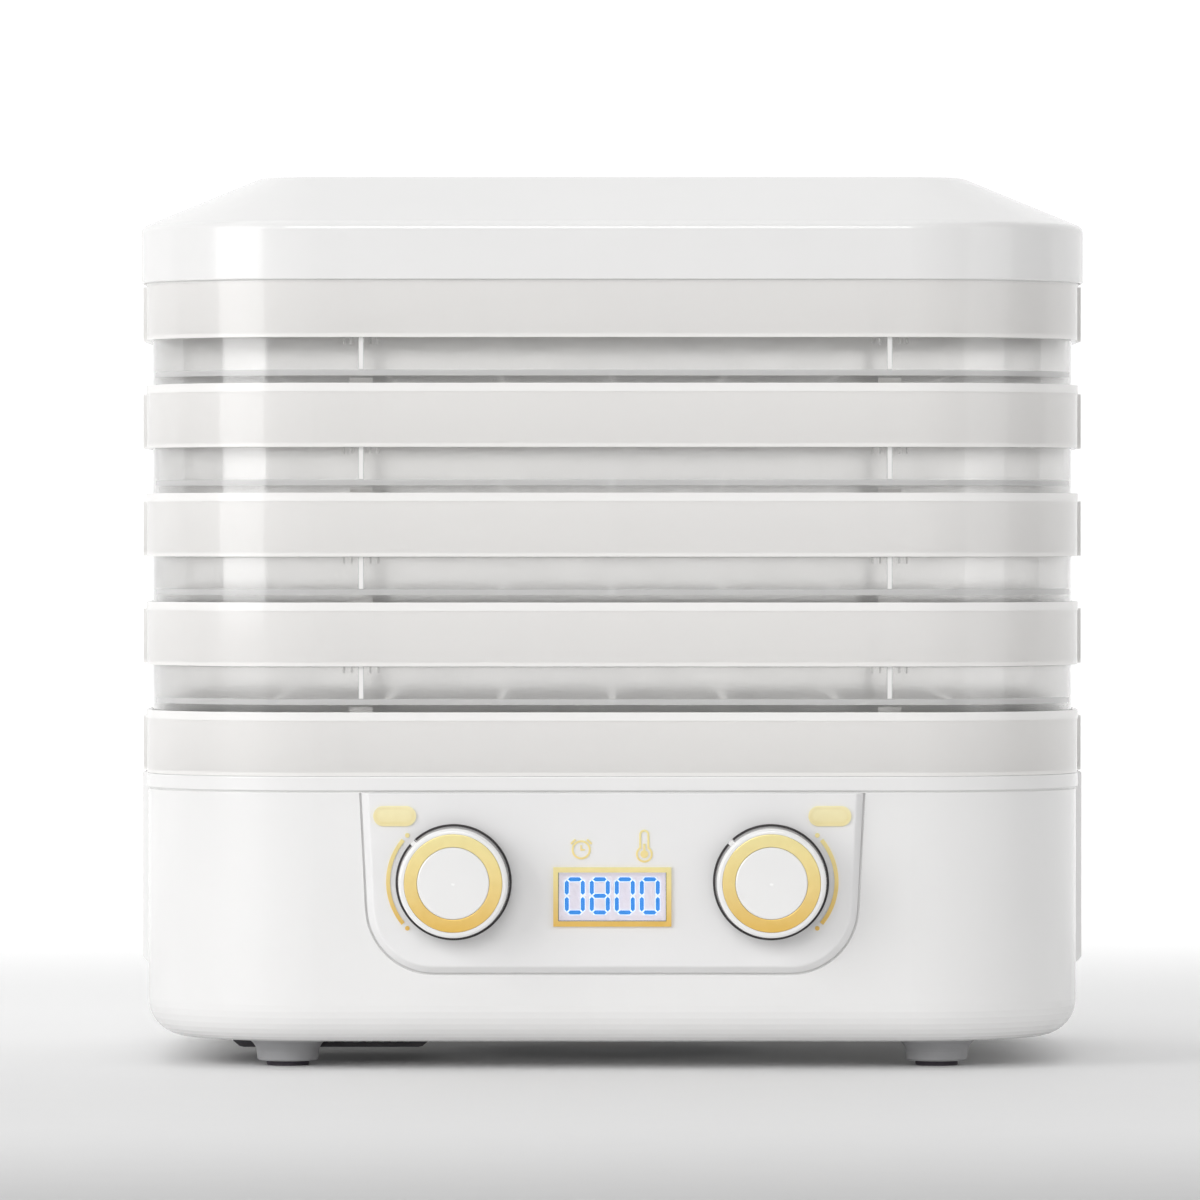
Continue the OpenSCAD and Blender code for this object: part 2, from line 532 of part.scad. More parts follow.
// Rotary encoder with a push switch. Local z runs forward from the panel's back face.
enc_t = 6.4;
module encoder_case() difference() {
    union() {
        translate([-6.2, -6.6, -enc_t]) cube([12.4, 13.2, enc_t]);
        cylinder(r = 3.5, h = y_back - y_face + 2.2, $fn = 48);
    }
    translate([0, 0, -1]) cylinder(r = 3.05, h = 30, $fn = 48);
    translate([0, 0, -enc_t + 1]) cylinder(r = 5.2, h = enc_t - 1.8, $fn = 48);
}
module encoder_rotor() difference() {
    union() {
        translate([0, 0, -3.6]) cylinder(r = 4.9, h = 1.5, $fn = 48);
        for (k = [0:5]) rotate(k * 60) translate([3.1, -0.5, -3.8]) cube([1.4, 1, 0.4]);
    }
    translate([0, 0, -5]) cylinder(r = 1.86, h = 8, $fn = 48);
}
module encoder_shaft() {
    translate([0, 0, -0.4]) cylinder(r = 3, h = y_back - y_knob + knob_h - 4 + 0.4, $fn = 48);
    translate([0, 0, -4.5]) cylinder(r = 1.8, h = 4.6, $fn = 48);
}
module at_encoder(s) place() along_y(s * knob_x, y_back, knob_z) children();
module encoder_left() color("silver") at_encoder(-1) encoder_case();
module encoder_right() color("silver") at_encoder(1) encoder_case();
module encoder_rotor_left() color("burlywood") at_encoder(-1) encoder_rotor();
module encoder_rotor_right() color("burlywood") at_encoder(1) encoder_rotor();
module encoder_shaft_left() color("gainsboro") at_encoder(-1) encoder_shaft();
module encoder_shaft_right() color("gainsboro") at_encoder(1) encoder_shaft();
module encoder_nuts() color("silver") place() for (s = [-1, 1]) along_y(s * knob_x, y_face, knob_z) difference() {
    cylinder(r = 5.6, h = 1.9, $fn = 6);
    translate([0, 0, -1]) cylinder(r = 3.52, h = 5, $fn = 48);
}

// ---------------------------------------------------------------- boards
module control_board() color("seagreen") place() translate([-72, y_back + enc_t, inner_z0 + 9]) difference() {
    cube([144, 1.6, 36]);
    for (x = [5, 139], z = [5, 31]) translate([x, 3, z]) rotate([90, 0, 0]) cylinder(r = 1.4, h = 6, $fn = 32);
}
module power_board() color("seagreen") place() difference() {
    translate([40, 40, board_z]) cube([84, 56, 1.6]);
    for (p = board_xy) translate([p[0], p[1], board_z - 1]) cylinder(r = 1.5, h = 5, $fn = 32);
}
module transformer() color("goldenrod") place() translate([56, 56, board_z + 1.6]) {
    cube([24, 6, 18]);
    translate([0, 14, 0]) cube([24, 6, 18]);
    translate([3, 6, 1]) cube([18, 8, 16]);
}
module relay() color("royalblue") place() translate([88, 52, board_z + 1.6]) cube([19, 15.4, 15]);
module capacitor() color("darkslategray") place() translate([96, 80, board_z + 1.6]) {
    cylinder(r = 6, h = 18, $fn = 48);
    translate([0, 0, 0.5]) translate([-18, 0, 0]) cylinder(r = 4, h = 11, $fn = 48);
}

// ---------------------------------------------------------------- motor and fan
module motor_core() color("slategray") place() translate([0, 0, 20]) linear_extrude(14) difference() {
    union() { translate([-25, -18]) square([50, 60]); }
    circle(r = 10.5);
    translate([-16, 17]) square([32, 14.8]);
}
module motor_coil() color("peru") place() difference() {
    translate([-14, 19, 12.4]) cube([28, 35, 29]);
    translate([-20, 31.6, 19.8]) cube([40, 10.6, 14.4]);
    translate([-20, 16, 19.8]) cube([40, 6, 14.4]);
}
module motor_bracket() color("silver") place() {
    // Upper strap, which hangs the motor from the two tall bosses, and the lower bridge
    difference() {
        translate([0, 0, 38.4]) linear_extrude(1.6) difference() {
            union() { square([108, 13], center = true); for (s = [-1, 1]) translate([s * 57, 0]) circle(r = 6.5); }
            circle(r = 4);
            for (s = [-1, 1]) translate([s * 57, 0]) circle(r = 1.7);
        }
    }
    translate([0, 0, 14]) linear_extrude(1.6) difference() { square([50, 13], center = true); circle(r = 4); }
    for (s = [-1, 1]) {
        translate([s * 20, 0, 34]) cylinder(r = 3, h = 4.6, $fn = 48);
        translate([s * 20, 0, 15.4]) cylinder(r = 3, h = 4.6, $fn = 48);
    }
}
module motor_bushes() color("darkgoldenrod") place() for (z = [12.6, 37]) translate([0, 0, z]) difference() {
    union() { cylinder(r = 3.98, h = 4.6, $fn = 48); }
    translate([0, 0, -1]) cylinder(r = 2.04, h = 8, $fn = 48);
}
module motor_rotor() color("lightslategray") place() {
    translate([0, 0, 19]) cylinder(r = 10.1, h = 16);
    translate([0, 0, 12]) cylinder(r = 2, h = 49, $fn = 48);
}
module fan() color("dimgray") place() difference() {
    union() {
        translate([0, 0, 45.6]) rotate_extrude() polygon(rounded([[0, 0], [14, 0], [14, 14], [0, 14]], [0, 0, 3, 0], 4));
        for (k = [0:6]) intersection() {
            rotate(k * 360 / 7) translate([9, 0, 52.6]) rotate([34, 0, 0]) translate([0, -11, -0.8]) cube([50, 22, 1.6]);
            translate([0, 0, 45]) cylinder(r = 47, h = 15.6);
        }
    }
    translate([0, 0, 40]) cylinder(r = 2.01, h = 21.02, $fn = 48);
    translate([0, 0, 40]) cylinder(r = 10, h = 9, $fn = 48);
}

// ---------------------------------------------------------------- heater
module heater_shroud() color("lightgray") place() {
    translate([0, 0, 44]) linear_extrude(z_ledge - 44) difference() { circle(r = 53.2); circle(r = 52.2); }
    translate([0, 0, z_ledge - 1]) linear_extrude(1) difference() { circle(r = 61); circle(r = 52.2); }
}
coil_r = [17, 29, 41];
module heater_rings(g) translate([0, 0, 71]) for (r = coil_r) rotate_extrude() translate([r, 0]) circle(r = 2.4 + g, $fn = 24);
module heater_frame() color("tan") place() difference() {
    union() for (k = [0:1]) rotate(45 + 90 * k) translate([-51.6, -0.4, 64]) cube([103.2, 0.8, 14]);
    heater_rings(0.25);
}
module heater_coil() color("gray") place() heater_rings(0);
module thermal_cutoff() color("silver") place() rotate(200) translate([53.5, 0, 60]) rotate([0, 90, 0]) {
    cylinder(r = 7.6, h = 3, $fn = 48);
    translate([0, 0, 3]) cylinder(r = 5.6, h = 3.4, $fn = 48);
    for (s = [-1, 1]) translate([-0.4, s * 3.4 - 1.5, 6.2]) cube([0.8, 3, 7]);
}
module temperature_probe() color("silver") place() translate([72, 30, 0]) {
    translate([0, 0, z_ledge - 9]) cylinder(r = 2.45, h = deck_t + 10.4, $fn = 32);
    translate([0, 0, z_ledge - 3]) cylinder(r = 4.4, h = 3, $fn = 32);
}

// ---------------------------------------------------------------- cord gland, wiring, screws
// Block under the floor's rear edge that the cord is led out through
module cord_gland() color("gainsboro") place() translate([gland_x, gland_y, 0]) difference() {
    rotate([90, 0, 0]) linear_extrude(24, center = true)
        polygon([[-9.5, z_base], [-8.4, z_base - 1.2], [-6.4, 2], [-5.4, 1.2], [5.4, 1.2], [6.4, 2], [8.4, z_base - 1.2], [9.5, z_base]]);
    translate([0, 0, gland_z]) rotate([90, 0, 0]) cylinder(r = 3.3, h = 40, center = true, $fn = 48);
}

wire_a = [[84, 45, 21.5], [84, 45, 23.5], [84, 45, 26], [81, 34, 26], [78, 16, 18], [76, -20, 15], [72, -60, 15], [60, -90, 26], [51, -104, 46], [48, -111, 52], [48, -116.2, 53]];
wire_b = [[50, 54, 21.5], [50, 54, 24], [50, 54, 28], [49, 50, 40], [46, 46, 54], [43, 43, 64], [40, 40, 69]];
wire_c = [[15.6, 46, 30], [22, 48, 31], [32, 58, 30], [42, 67, 27], [48, 69, 26.5], [48, 69, 24], [48, 69, 21.5]];
module wiring() color("firebrick") place() {
    tube(route(wire_a), 1.3);
    tube(route(wire_b), 1.2);
    tube(route(wire_c), 1.1);
}

module screw(l, r = 1.5, rh = 2.9) {
    cylinder(r = r, h = l, $fn = 32);
    translate([0, 0, -2.2]) difference() {
        cylinder(r = rh, h = 2.2, $fn = 48);
        translate([0, 0, -0.1]) rotate(45) translate([-rh * 0.6, -0.45, 0]) cube([rh * 1.2, 0.9, 1.1]);
        translate([0, 0, -0.1]) rotate(-45) translate([-rh * 0.6, -0.45, 0]) cube([rh * 1.2, 0.9, 1.1]);
    }
}
module screws() color("silver") place() {
    for (p = deck_screw_xy) translate([p[0], p[1], 54]) screw(18);
    for (p = foot_xy) translate([p[0], p[1], 4.4]) screw(12);
    for (p = board_xy) translate([p[0], p[1], board_z + 1.6]) mirror([0, 0, 1]) screw(7, 1.25, 2.4);
    for (s = [-1, 1]) translate([s * 57, 0, 40]) mirror([0, 0, 1]) screw(10);
}

lid();
tray_1();
tray_2();
tray_3();
tray_4();
tray_5();
top_ring();
top_deck();
base_shell();
base_floor();
intake_grille();
side_vent_left();
side_vent_right();
underside_cover();
foot_front_left();
foot_front_right();
foot_rear_left();
foot_rear_right();
foot_pads();
control_panel();
display_bezel();
display_lens();
display_module();
display_digits();
panel_print();
label_plates();
knob_left();
knob_trim_left();
knob_ring_left();
knob_cap_left();
knob_right();
knob_trim_right();
knob_ring_right();
knob_cap_right();
encoder_left();
encoder_rotor_left();
encoder_shaft_left();
encoder_right();
encoder_rotor_right();
encoder_shaft_right();
encoder_nuts();
control_board();
power_board();
transformer();
relay();
capacitor();
motor_core();
motor_coil();
motor_bracket();
motor_bushes();
motor_rotor();
fan();
heater_shroud();
heater_frame();
heater_coil();
thermal_cutoff();
temperature_probe();
cord_gland();
wiring();
screws();
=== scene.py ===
import json
import math
import bpy
import bmesh
from mathutils import Matrix, Vector


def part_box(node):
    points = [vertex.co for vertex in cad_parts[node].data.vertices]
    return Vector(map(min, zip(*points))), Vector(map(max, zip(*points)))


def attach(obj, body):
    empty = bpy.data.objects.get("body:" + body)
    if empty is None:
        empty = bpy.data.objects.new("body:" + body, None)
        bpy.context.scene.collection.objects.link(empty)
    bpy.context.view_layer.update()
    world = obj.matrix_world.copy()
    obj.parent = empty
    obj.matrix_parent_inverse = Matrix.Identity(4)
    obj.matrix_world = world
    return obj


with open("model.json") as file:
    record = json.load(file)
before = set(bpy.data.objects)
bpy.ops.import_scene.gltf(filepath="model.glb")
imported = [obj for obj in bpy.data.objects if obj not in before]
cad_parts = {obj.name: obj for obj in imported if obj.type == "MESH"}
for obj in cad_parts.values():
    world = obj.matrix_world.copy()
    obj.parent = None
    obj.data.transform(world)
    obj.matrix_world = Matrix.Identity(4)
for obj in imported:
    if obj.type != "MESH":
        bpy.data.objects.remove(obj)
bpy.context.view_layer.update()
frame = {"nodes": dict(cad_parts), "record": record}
nodes = frame["nodes"]
scene = bpy.context.scene


# ------------------------------------------------------------------ camera
def make_camera():
    data = bpy.data.cameras.new("camera")
    data.lens = 8959.38 / 1200.0 * 36.0
    data.sensor_width = 36.0
    data.sensor_fit = "HORIZONTAL"
    data.clip_start = 0.05
    data.clip_end = 60.0
    cam = bpy.data.objects.new("camera", data)
    scene.collection.objects.link(cam)
    yaw, pitch = -0.00073, -0.00754
    forward = Vector((math.sin(yaw) * math.cos(pitch), math.cos(yaw) * math.cos(pitch), math.sin(pitch)))
    right = Vector((math.cos(yaw), -math.sin(yaw), 0.0))
    up = right.cross(forward)
    rot = Matrix((right, up, -forward)).transposed()
    cam.matrix_world = Matrix.Translation((-0.00198, -3.2, 0.18541)) @ rot.to_4x4()
    scene.camera = cam
    return cam


make_camera()


# ------------------------------------------------------------------ material kit
class Mat:
    """A small builder for node materials around one Principled shader."""

    def __init__(self, name, **sockets):
        self.m = bpy.data.materials.new(name)
        self.m.use_nodes = True
        self.t = self.m.node_tree
        self.p = self.t.nodes["Principled BSDF"]
        self.out = self.t.nodes["Material Output"]
        for k, v in sockets.items():
            self.set(k, v)

    def set(self, key, value):
        sock = self.p.inputs[key.replace("_", " ").title() if key not in self.p.inputs else key]
        if isinstance(value, (tuple, list)) and len(value) == 3 and sock.type == "RGBA":
            value = (*value, 1.0)
        sock.default_value = value
        return self

    def node(self, kind, **props):
        n = self.t.nodes.new(kind)
        for k, v in props.items():
            if k in n.inputs:
                n.inputs[k].default_value = v
            else:
                setattr(n, k, v)
        return n

    def link(self, a, b):
        self.t.links.new(a, b)

    def coords(self, which="Object"):
        return self.node("ShaderNodeTexCoord").outputs[which]

    def noise(self, scale, detail=3.0, rough=0.5, vector=None, distortion=0.0):
        n = self.node("ShaderNodeTexNoise")
        n.inputs["Scale"].default_value = scale
        n.inputs["Detail"].default_value = detail
        n.inputs["Roughness"].default_value = rough
        n.inputs["Distortion"].default_value = distortion
        self.link(vector if vector is not None else self.coords(), n.inputs["Vector"])
        return n.outputs["Fac"]

    def ramp(self, fac, stops, interpolation="LINEAR"):
        r = self.node("ShaderNodeValToRGB")
        r.color_ramp.interpolation = interpolation
        els = r.color_ramp.elements
        while len(els) < len(stops):
            els.new(0.5)
        for e, (pos, col) in zip(els, stops):
            e.position = pos
            if not isinstance(col, (tuple, list)):
                col = (col, col, col)
            e.color = (*col[:3], 1.0)
        self.link(fac, r.inputs["Fac"])
        return r.outputs["Color"]

    def axis(self, which="Z", coords="Generated"):
        s = self.node("ShaderNodeSeparateXYZ")
        self.link(self.coords(coords), s.inputs["Vector"])
        return s.outputs[which]

    def remap(self, val, a, b, c, d):
        r = self.node("ShaderNodeMapRange")
        for k, v in zip(("From Min", "From Max", "To Min", "To Max"), (a, b, c, d)):
            r.inputs[k].default_value = v
        self.link(val, r.inputs["Value"])
        return r.outputs["Result"]

    def mix(self, fac, a, b, blend="MIX"):
        n = self.node("ShaderNodeMix", data_type="RGBA", blend_type=blend)
        col = [s for s in n.inputs if s.type == "RGBA"]
        if isinstance(fac, (int, float)):
            n.inputs["Factor"].default_value = fac
        else:
            self.link(fac, n.inputs["Factor"])
        for s, v in zip(col, (a, b)):
            if isinstance(v, (tuple, list)):
                s.default_value = (*v[:3], 1.0)
            else:
                self.link(v, s)
        return [o for o in n.outputs if o.type == "RGBA"][0]

    def colour(self, sock):
        self.link(sock, self.p.inputs["Base Color"])
        return self

    def roughness(self, sock):
        self.link(sock, self.p.inputs["Roughness"])
        return self

    def bump(self, height, strength=0.1, distance=0.0005):
        b = self.node("ShaderNodeBump")
        b.inputs["Strength"].default_value = strength
        b.inputs["Distance"].default_value = distance
        self.link(height, b.inputs["Height"])
        self.link(b.outputs["Normal"], self.p.inputs["Normal"])
        return self


def vary(m, base, spread=0.03, scale=22.0):
    """Base colour with a faint large-scale drift, lighter and darker than the base."""
    lo = tuple(max(0.0, c * (1 - spread)) for c in base)
    hi = tuple(min(1.0, c * (1 + spread)) for c in base)
    m.colour(m.ramp(m.noise(scale, 3.0), [(0.3, lo), (0.7, hi)]))


def gloss_plastic(name, base, rough=(0.19, 0.22), coat=0.25, peel=0.02, spread=0.012):
    m = Mat(name, **{"IOR": 1.5, "Coat Weight": coat, "Coat Roughness": 0.06})
    vary(m, base, spread, 14.0)
    m.roughness(m.ramp(m.noise(120.0, 4.0), [(0.3, rough[0]), (0.7, rough[1])]))
    m.bump(m.noise(420.0, 2.0), peel, 0.0003)
    return m.m


def matte_plastic(name, base, rough=(0.42, 0.56), grain=0.12, spread=0.05, scale=900.0):
    m = Mat(name, **{"IOR": 1.48})
    vary(m, base, spread, 40.0)
    m.roughness(m.ramp(m.noise(260.0, 4.0), [(0.3, rough[0]), (0.7, rough[1])]))
    m.bump(m.noise(scale, 3.0, 0.6), grain, 0.0003)
    return m.m


def metal(name, base, rough=(0.22, 0.36), brushed=None, spread=0.06, scale=60.0):
    m = Mat(name, **{"Metallic": 1.0})
    co = m.coords()
    if brushed:
        mp = m.node("ShaderNodeMapping")
        mp.inputs["Scale"].default_value = brushed
        m.link(co, mp.inputs["Vector"])
        co = mp.outputs["Vector"]
    n = m.noise(scale, 4.0, 0.6, co)
    lo = tuple(c * (1 - spread) for c in base)
    hi = tuple(min(1.0, c * (1 + spread)) for c in base)
    m.colour(m.ramp(n, [(0.3, lo), (0.7, hi)]))
    m.roughness(m.ramp(n, [(0.3, rough[0]), (0.7, rough[1])]))
    m.bump(n, 0.08, 0.0002)
    return m.m


# ------------------------------------------------------------------ materials
MATS = {}
MATS["white_shell"] = gloss_plastic("white_shell", (0.86, 0.855, 0.85))
MATS["white_panel"] = gloss_plastic("white_panel", (0.86, 0.855, 0.855), rough=(0.23, 0.26))
MATS["lid_white"] = gloss_plastic("lid_white", (0.87, 0.865, 0.86))
MATS["knob_white"] = gloss_plastic("knob_white", (0.88, 0.875, 0.87), rough=(0.12, 0.18), coat=0.4)
# The deck is painted dark grey-lavender, darker than its own light grey: painted shade for the dim space under the
# lowest tray.
MATS["deck_white"] = matte_plastic("deck_white", (0.46, 0.45, 0.50))
MATS["floor_white"] = matte_plastic("floor_white", (0.76, 0.755, 0.75))
MATS["grille_grey"] = matte_plastic("grille_grey", (0.50, 0.50, 0.51))
MATS["cover_grey"] = matte_plastic("cover_grey", (0.06, 0.055, 0.065), rough=(0.3, 0.42))
MATS["foot_grey"] = matte_plastic("foot_grey", (0.42, 0.42, 0.43), rough=(0.35, 0.5))
MATS["pad_rubber"] = matte_plastic("pad_rubber", (0.055, 0.045, 0.06), rough=(0.6, 0.8), grain=0.3)
# Near-black ring round each knob's base: a dark trim that also stands in as painted shade for the shadow gap between
# knob and panel.
MATS["knob_grey"] = matte_plastic("knob_grey", (0.035, 0.03, 0.032), rough=(0.3, 0.4))
MATS["display_body"] = matte_plastic("display_body", (0.72, 0.69, 0.80))
MATS["rotor_tan"] = matte_plastic("rotor_tan", (0.45, 0.30, 0.14))
MATS["board_green"] = matte_plastic("board_green", (0.02, 0.14, 0.06), rough=(0.25, 0.4))
MATS["transformer_core"] = matte_plastic("transformer_core", (0.35, 0.24, 0.06))
MATS["relay_blue"] = matte_plastic("relay_blue", (0.03, 0.10, 0.42), rough=(0.2, 0.3))
MATS["capacitor_black"] = matte_plastic("capacitor_black", (0.03, 0.035, 0.045), rough=(0.2, 0.3))
MATS["fan_dark"] = matte_plastic("fan_dark", (0.03, 0.03, 0.032))
MATS["mica"] = matte_plastic("mica", (0.42, 0.33, 0.20), spread=0.2)
MATS["gland_white"] = matte_plastic("gland_white", (0.72, 0.72, 0.71))
MATS["wire_red"] = matte_plastic("wire_red", (0.30, 0.02, 0.018), rough=(0.4, 0.5))
MATS["encoder_steel"] = metal("encoder_steel", (0.62, 0.63, 0.65))
MATS["shaft_steel"] = metal("shaft_steel", (0.66, 0.67, 0.69), brushed=(1, 1, 12))
MATS["lamination"] = metal("lamination", (0.30, 0.31, 0.33), brushed=(0.2, 0.2, 30), spread=0.3)
MATS["copper_coil"] = metal("copper_coil", (0.62, 0.25, 0.09), brushed=(0.3, 0.3, 30), spread=0.3)
MATS["bracket_zinc"] = metal("bracket_zinc", (0.60, 0.60, 0.58))
MATS["bronze"] = metal("bronze", (0.55, 0.36, 0.14), rough=(0.4, 0.5))
MATS["shroud_steel"] = metal("shroud_steel", (0.66, 0.66, 0.65), rough=(0.3, 0.45))
MATS["heater_wire"] = metal("heater_wire", (0.22, 0.19, 0.17), rough=(0.45, 0.6), spread=0.3)
MATS["sensor_metal"] = metal("sensor_metal", (0.62, 0.62, 0.62))
MATS["zinc_screw"] = metal("zinc_screw", (0.58, 0.59, 0.60))


def gold(name, stops, coords="Generated", axis="Z", metallic=0.4, rough=(0.28, 0.36)):
    m = Mat(name, **{"Metallic": metallic, "Coat Weight": 0.2, "Coat Roughness": 0.15})
    # Base colour ramps up each part's height from deep orange at the bottom to pale gold at the top: a painted sheen,
    # lighter on top as if lit from above.
    col = m.ramp(m.axis(axis, coords), stops)
    m.colour(m.mix(0.06, col, m.ramp(m.noise(300.0, 4.0), [(0.3, (0.55, 0.38, 0.12)), (0.7, (1.0, 0.9, 0.6))])))
    m.roughness(m.ramp(m.noise(500.0, 3.0), [(0.3, rough[0]), (0.7, rough[1])]))
    m.bump(m.noise(1500.0, 2.0), 0.04, 0.0001)
    return m.m


# Painted sheen: deep orange at the bottom of each gold part, pale gold at its top.
GOLD_SHEEN_STOPS = [(0.0, (0.88, 0.55, 0.11)), (0.35, (0.95, 0.70, 0.25)), (0.7, (1.0, 0.82, 0.35)), (1.0, (1.0, 0.88, 0.42))]
MATS["gold_trim"] = gold("gold_trim", GOLD_SHEEN_STOPS)
MATS["gold_print"] = gold("gold_print", GOLD_SHEEN_STOPS, metallic=0.35)
# The badge's paler top is the same painted sheen.
MATS["badge_gold"] = gold("badge_gold", [(0.0, (0.90, 0.79, 0.42)), (1.0, (0.98, 0.90, 0.56))], metallic=0.2, rough=(0.35, 0.45))


def band(m, val, centre, half, soft):
    """1 where val is within half of centre, falling to 0 over soft."""
    d = m.node("ShaderNodeMath", operation="SUBTRACT")
    m.link(val, d.inputs[0])
    d.inputs[1].default_value = centre
    a = m.node("ShaderNodeMath", operation="ABSOLUTE")
    m.link(d.outputs[0], a.inputs[0])
    return m.remap(a.outputs[0], half, half + soft, 1.0, 0.0)


def frosted(name):
    """Frosted polypropylene: nearly clear in the neck, milky in the rim, whitest in the bead, the step and the posts' ribs."""
    m = Mat(name, **{"IOR": 1.45, "Coat Weight": 0.5, "Coat Roughness": 0.04})
    z = m.axis("Z", "Generated")
    x = m.axis("X", "Object")
    drift = m.ramp(m.noise(9.0, 2.0), [(0.3, (0.90, 0.87, 0.92)), (0.7, (1.0, 0.98, 0.93))])
    body = m.ramp(z, [(0.0, (0.99, 0.985, 0.975)), (0.06, (0.99, 0.985, 0.975)), (0.066, (0.94, 0.935, 0.93)), (0.111, (0.94, 0.935, 0.93)), (0.115, (0.99, 0.985, 0.975)),
                      (0.395, (0.99, 0.985, 0.975)), (0.40, (0.98, 0.965, 0.945)), (0.875, (0.98, 0.965, 0.945)), (0.88, (0.99, 0.98, 0.965))])
    m.colour(m.mix(0.05, body, drift))
    clear = m.ramp(z, [(0.0, 0.94), (0.062, 0.94), (0.066, 0.45), (0.111, 0.45), (0.115, 0.89), (0.396, 0.87), (0.40, 0.10),
                       (0.425, 0.12), (0.437, 0.30), (0.873, 0.22), (0.882, 0.08), (1.0, 0.08)])
    ribs = m.node("ShaderNodeMath", operation="MAXIMUM")
    m.link(band(m, x, -0.0865, 0.0006, 0.0004), ribs.inputs[0])
    m.link(band(m, x, 0.0955, 0.0006, 0.0004), ribs.inputs[1])
    neck = m.ramp(z, [(0.0, 0.0), (0.114, 0.0), (0.119, 1.0), (0.399, 1.0), (0.402, 0.0)])
    fac = m.node("ShaderNodeMath", operation="MULTIPLY")
    m.link(ribs.outputs[0], fac.inputs[0])
    m.link(neck, fac.inputs[1])
    m.link(m.mix(fac.outputs[0], clear, (0.12, 0.12, 0.12)), m.p.inputs["Transmission Weight"])
    m.roughness(m.mix(0.1, m.ramp(z, [(0.0, 0.07), (0.385, 0.09), (0.40, 0.30), (1.0, 0.34)]), m.noise(60.0, 3.0)))
    m.bump(m.noise(700.0, 3.0, 0.6), 0.03, 0.0003)
    return m.m


MATS["tray_frost"] = frosted("tray_frost")


def lens(name):
    m = Mat(name, **{"IOR": 1.45, "Roughness": 0.03, "Transmission Weight": 1.0})
    m.colour(m.ramp(m.noise(30.0), [(0.3, (0.97, 0.97, 1.0)), (0.7, (1.0, 1.0, 1.0))]))
    return m.m


MATS["lens_clear"] = lens("lens_clear")


def lit(name, colour, strength, base=(0.1, 0.1, 0.1), spread=0.04):
    m = Mat(name, **{"Roughness": 0.5, "Emission Strength": strength})
    lo = tuple(c * (1 - spread) for c in colour)
    m.link(m.ramp(m.noise(600.0, 3.0), [(0.3, lo), (0.7, colour)]), m.p.inputs["Emission Color"])
    m.colour(m.ramp(m.noise(200.0, 2.0), [(0.3, tuple(c * 0.9 for c in base)), (0.7, base)]))
    return m.m


MATS["digit_blue"] = lit("digit_blue", (0.012, 0.29, 0.78), 0.8, (0.01, 0.08, 0.4))
MATS["digit_glow"] = lit("digit_glow", (0.82, 0.90, 0.98), 0.40, (0.78, 0.84, 0.92))
MATS["display_body"] = lit("display_body", (0.84, 0.78, 0.84), 0.46, (0.80, 0.77, 0.84))


# ------------------------------------------------------------------ carried-over CAD nodes
slot_of = {s["node"]: s["material_slot"] for s in frame["record"]["subparts"]}


def smooth(obj, angle=38.0):
    me = obj.data
    for p in me.polygons:
        p.use_smooth = True
    me.set_sharp_from_angle(angle=math.radians(angle))


for name, obj in nodes.items():
    mat = MATS[slot_of[name]]
    if len(obj.material_slots) == 0:
        obj.data.materials.append(mat)
    for s in obj.material_slots:
        s.material = mat


# ------------------------------------------------------------------ glow round the lit figures
def figure_glow():
    """A thin pale halo on the display's face round every lit segment."""
    lo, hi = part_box("display_digits")
    y1 = hi.y - 0.00001
    me = bpy.data.meshes.new("digit_glow")
    bm = bmesh.new()
    src = bmesh.new()
    src.from_mesh(nodes["display_digits"].data)
    src.verts.ensure_lookup_table()
    seen, t = set(), 0.00018
    for v in src.verts:
        if v.index in seen:
            continue
        island, todo = [], [v]
        seen.add(v.index)
        while todo:
            a = todo.pop()
            island.append(a)
            for e in a.link_edges:
                b = e.other_vert(a)
                if b.index not in seen:
                    seen.add(b.index)
                    todo.append(b)
        xs, zs = [a.co.x for a in island], [a.co.z for a in island]
        x0, x1, z0, z1 = min(xs), max(xs), min(zs), max(zs)
        c = min(x1 - x0, z1 - z0) / 2 + t
        pts = []
        cx0, cx1, cz0, cz1 = x0 - t, x1 + t, z0 - t, z1 + t
        for px, pz, a0 in ((cx1 - c, cz1 - c, 0), (cx0 + c, cz1 - c, 90), (cx0 + c, cz0 + c, 180), (cx1 - c, cz0 + c, 270)):
            for k in range(5):
                a = math.radians(a0 + 22.5 * k)
                pts.append((px + c * math.cos(a), pz + c * math.sin(a)))
        front = [bm.verts.new((x, y1 - 0.00003, z)) for x, z in pts]
        back = [bm.verts.new((x, y1, z)) for x, z in pts]
        n = len(pts)
        bm.faces.new(front)
        bm.faces.new(list(reversed(back)))
        for i in range(n):
            bm.faces.new((front[i], back[i], back[(i + 1) % n], front[(i + 1) % n]))
    src.free()
    bmesh.ops.remove_doubles(bm, verts=bm.verts, dist=1e-7)
    bmesh.ops.recalc_face_normals(bm, faces=bm.faces)
    bm.to_mesh(me)
    bm.free()
    o = bpy.data.objects.new("digit_glow", me)
    scene.collection.objects.link(o)
    me.materials.append(MATS["digit_glow"])
    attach(o, "base")
    return o


figure_glow()


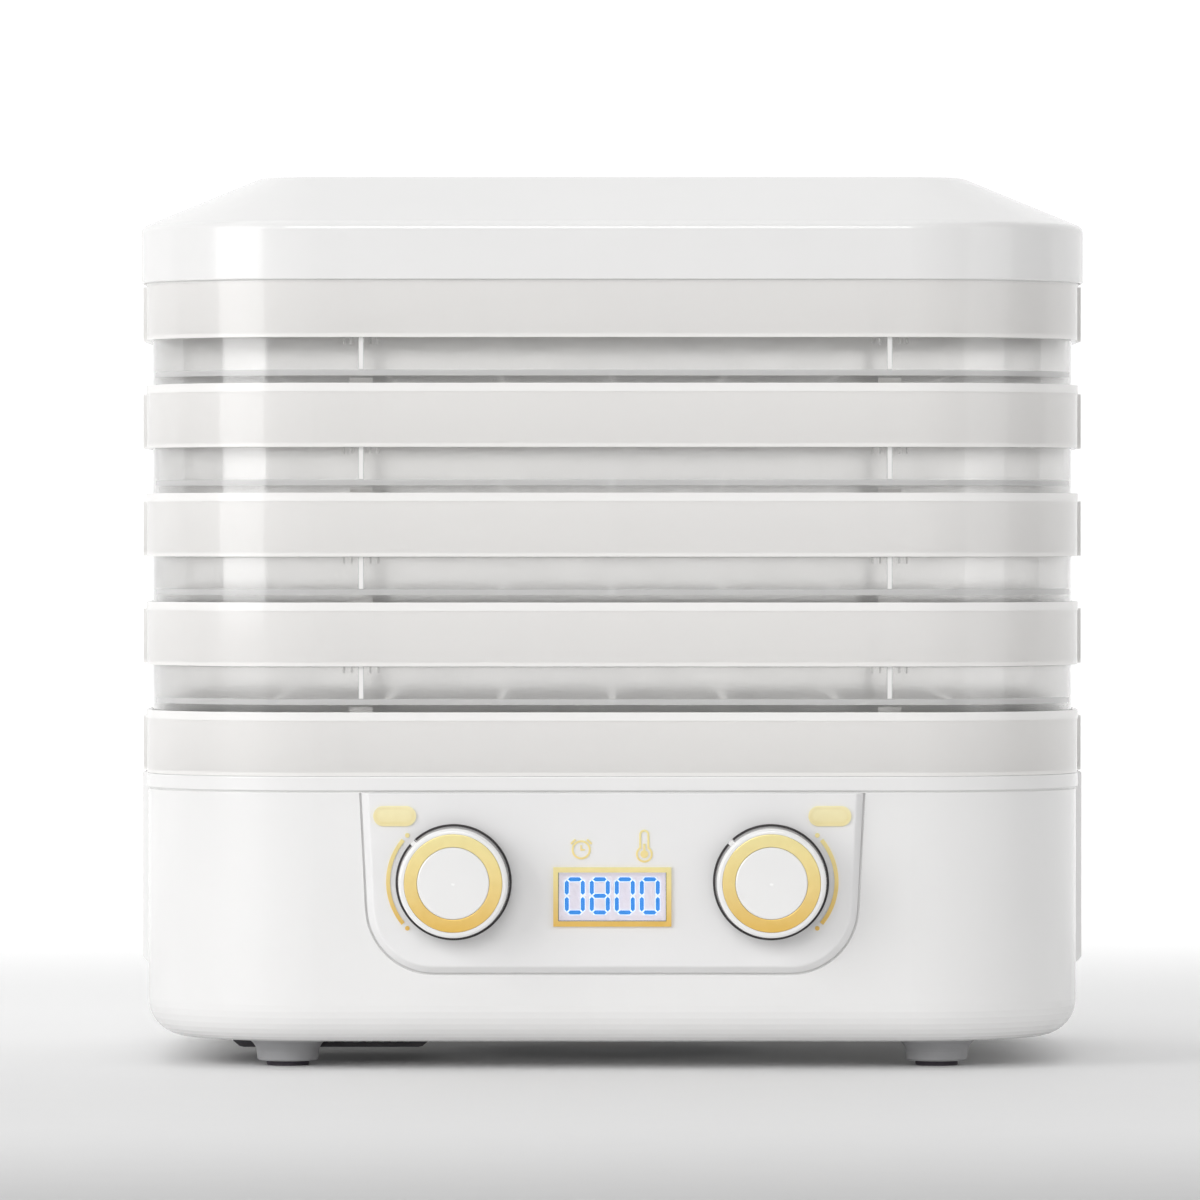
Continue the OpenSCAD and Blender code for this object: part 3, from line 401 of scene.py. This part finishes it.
# ------------------------------------------------------------------ stage
def stage_material():
    m = Mat("studio_floor", **{"Specular IOR Level": 0.1, "Emission Strength": 1.0})
    # Emission rises from almost none at the front to strong on the backdrop: a painted glow that keeps the backdrop
    # white and lights the object from behind.
    backdrop_painted_glow = m.ramp(m.remap(m.axis("Y", "Object"), -0.6, 2.4, 0.0, 1.0), [(0.0, 0.0), (0.16, 0.02), (0.32, 0.10), (0.6, 0.42), (1.0, 0.50)], "EASE")
    m.link(backdrop_painted_glow, m.p.inputs["Emission Color"])
    # Floor paint darkens towards the camera: painted shade that cuts the light bounced onto the base's underside.
    floor_painted_shade = m.ramp(m.remap(m.axis("Y", "Object"), -1.5, 0.3, 0.0, 1.0), [(0.0, (0.42, 0.42, 0.42)), (0.35, (0.50, 0.50, 0.50)), (0.62, (0.82, 0.82, 0.82)), (1.0, (0.90, 0.90, 0.90))], "EASE")
    m.colour(m.mix(0.03, floor_painted_shade, m.ramp(m.noise(3.0, 2.0), [(0.3, (0.85, 0.85, 0.85)), (0.7, (0.95, 0.95, 0.95))])))
    m.roughness(m.ramp(m.noise(40.0, 3.0), [(0.3, 0.6), (0.7, 0.7)]))
    return m.m


def make_stage():
    """A pale floor that sweeps up into a backdrop."""
    prof = [(-14.0, 0.0), (2.6, 0.0)]
    r = 2.2
    prof += [(2.6 + r * math.sin(a), r - r * math.cos(a)) for a in [math.pi / 2 * i / 24 for i in range(1, 25)]]
    prof += [(2.6 + r, 9.0)]
    me = bpy.data.meshes.new("studio_floor")
    bm = bmesh.new()
    rows = [[bm.verts.new((x, y, z)) for x in (-14.0, 14.0)] for y, z in prof]
    for a, b in zip(rows, rows[1:]):
        bm.faces.new((a[0], a[1], b[1], b[0]))
    bm.to_mesh(me)
    bm.free()
    for p in me.polygons:
        p.use_smooth = True
    o = bpy.data.objects.new("studio_floor", me)
    scene.collection.objects.link(o)
    me.materials.append(stage_material())


make_stage()


def area(name, loc, target, size, power, colour=(1, 1, 1), size_y=None):
    d = bpy.data.lights.new(name, "AREA")
    d.energy = power
    d.color = colour
    d.shape = "RECTANGLE"
    d.size = size
    d.size_y = size_y or size
    o = bpy.data.objects.new(name, d)
    scene.collection.objects.link(o)
    o.location = loc
    o.rotation_euler = (Vector(target) - Vector(loc)).to_track_quat("-Z", "Y").to_euler()
    return o


area("key_left", (-1.95, -1.55, 0.95), (0, 0, 0.3), 1.5, 26, size_y=1.7)
area("fill_right", (2.05, -1.45, 0.85), (0, 0, 0.3), 1.4, 7, size_y=1.6)
area("top_soft", (-0.2, 0.1, 2.4), (0, 0, 0.1), 2.0, 11)
area("front_soft", (-0.5, -3.7, 1.5), (0, 0, 0.2), 1.8, 30, size_y=1.0)

world = bpy.data.worlds.new("studio")
world.use_nodes = True
world.node_tree.nodes["Background"].inputs["Color"].default_value = (1, 1, 1, 1)
world.node_tree.nodes["Background"].inputs["Strength"].default_value = 0.38
scene.world = world
scene.view_settings.view_transform = "Standard"
scene.view_settings.look = "None"
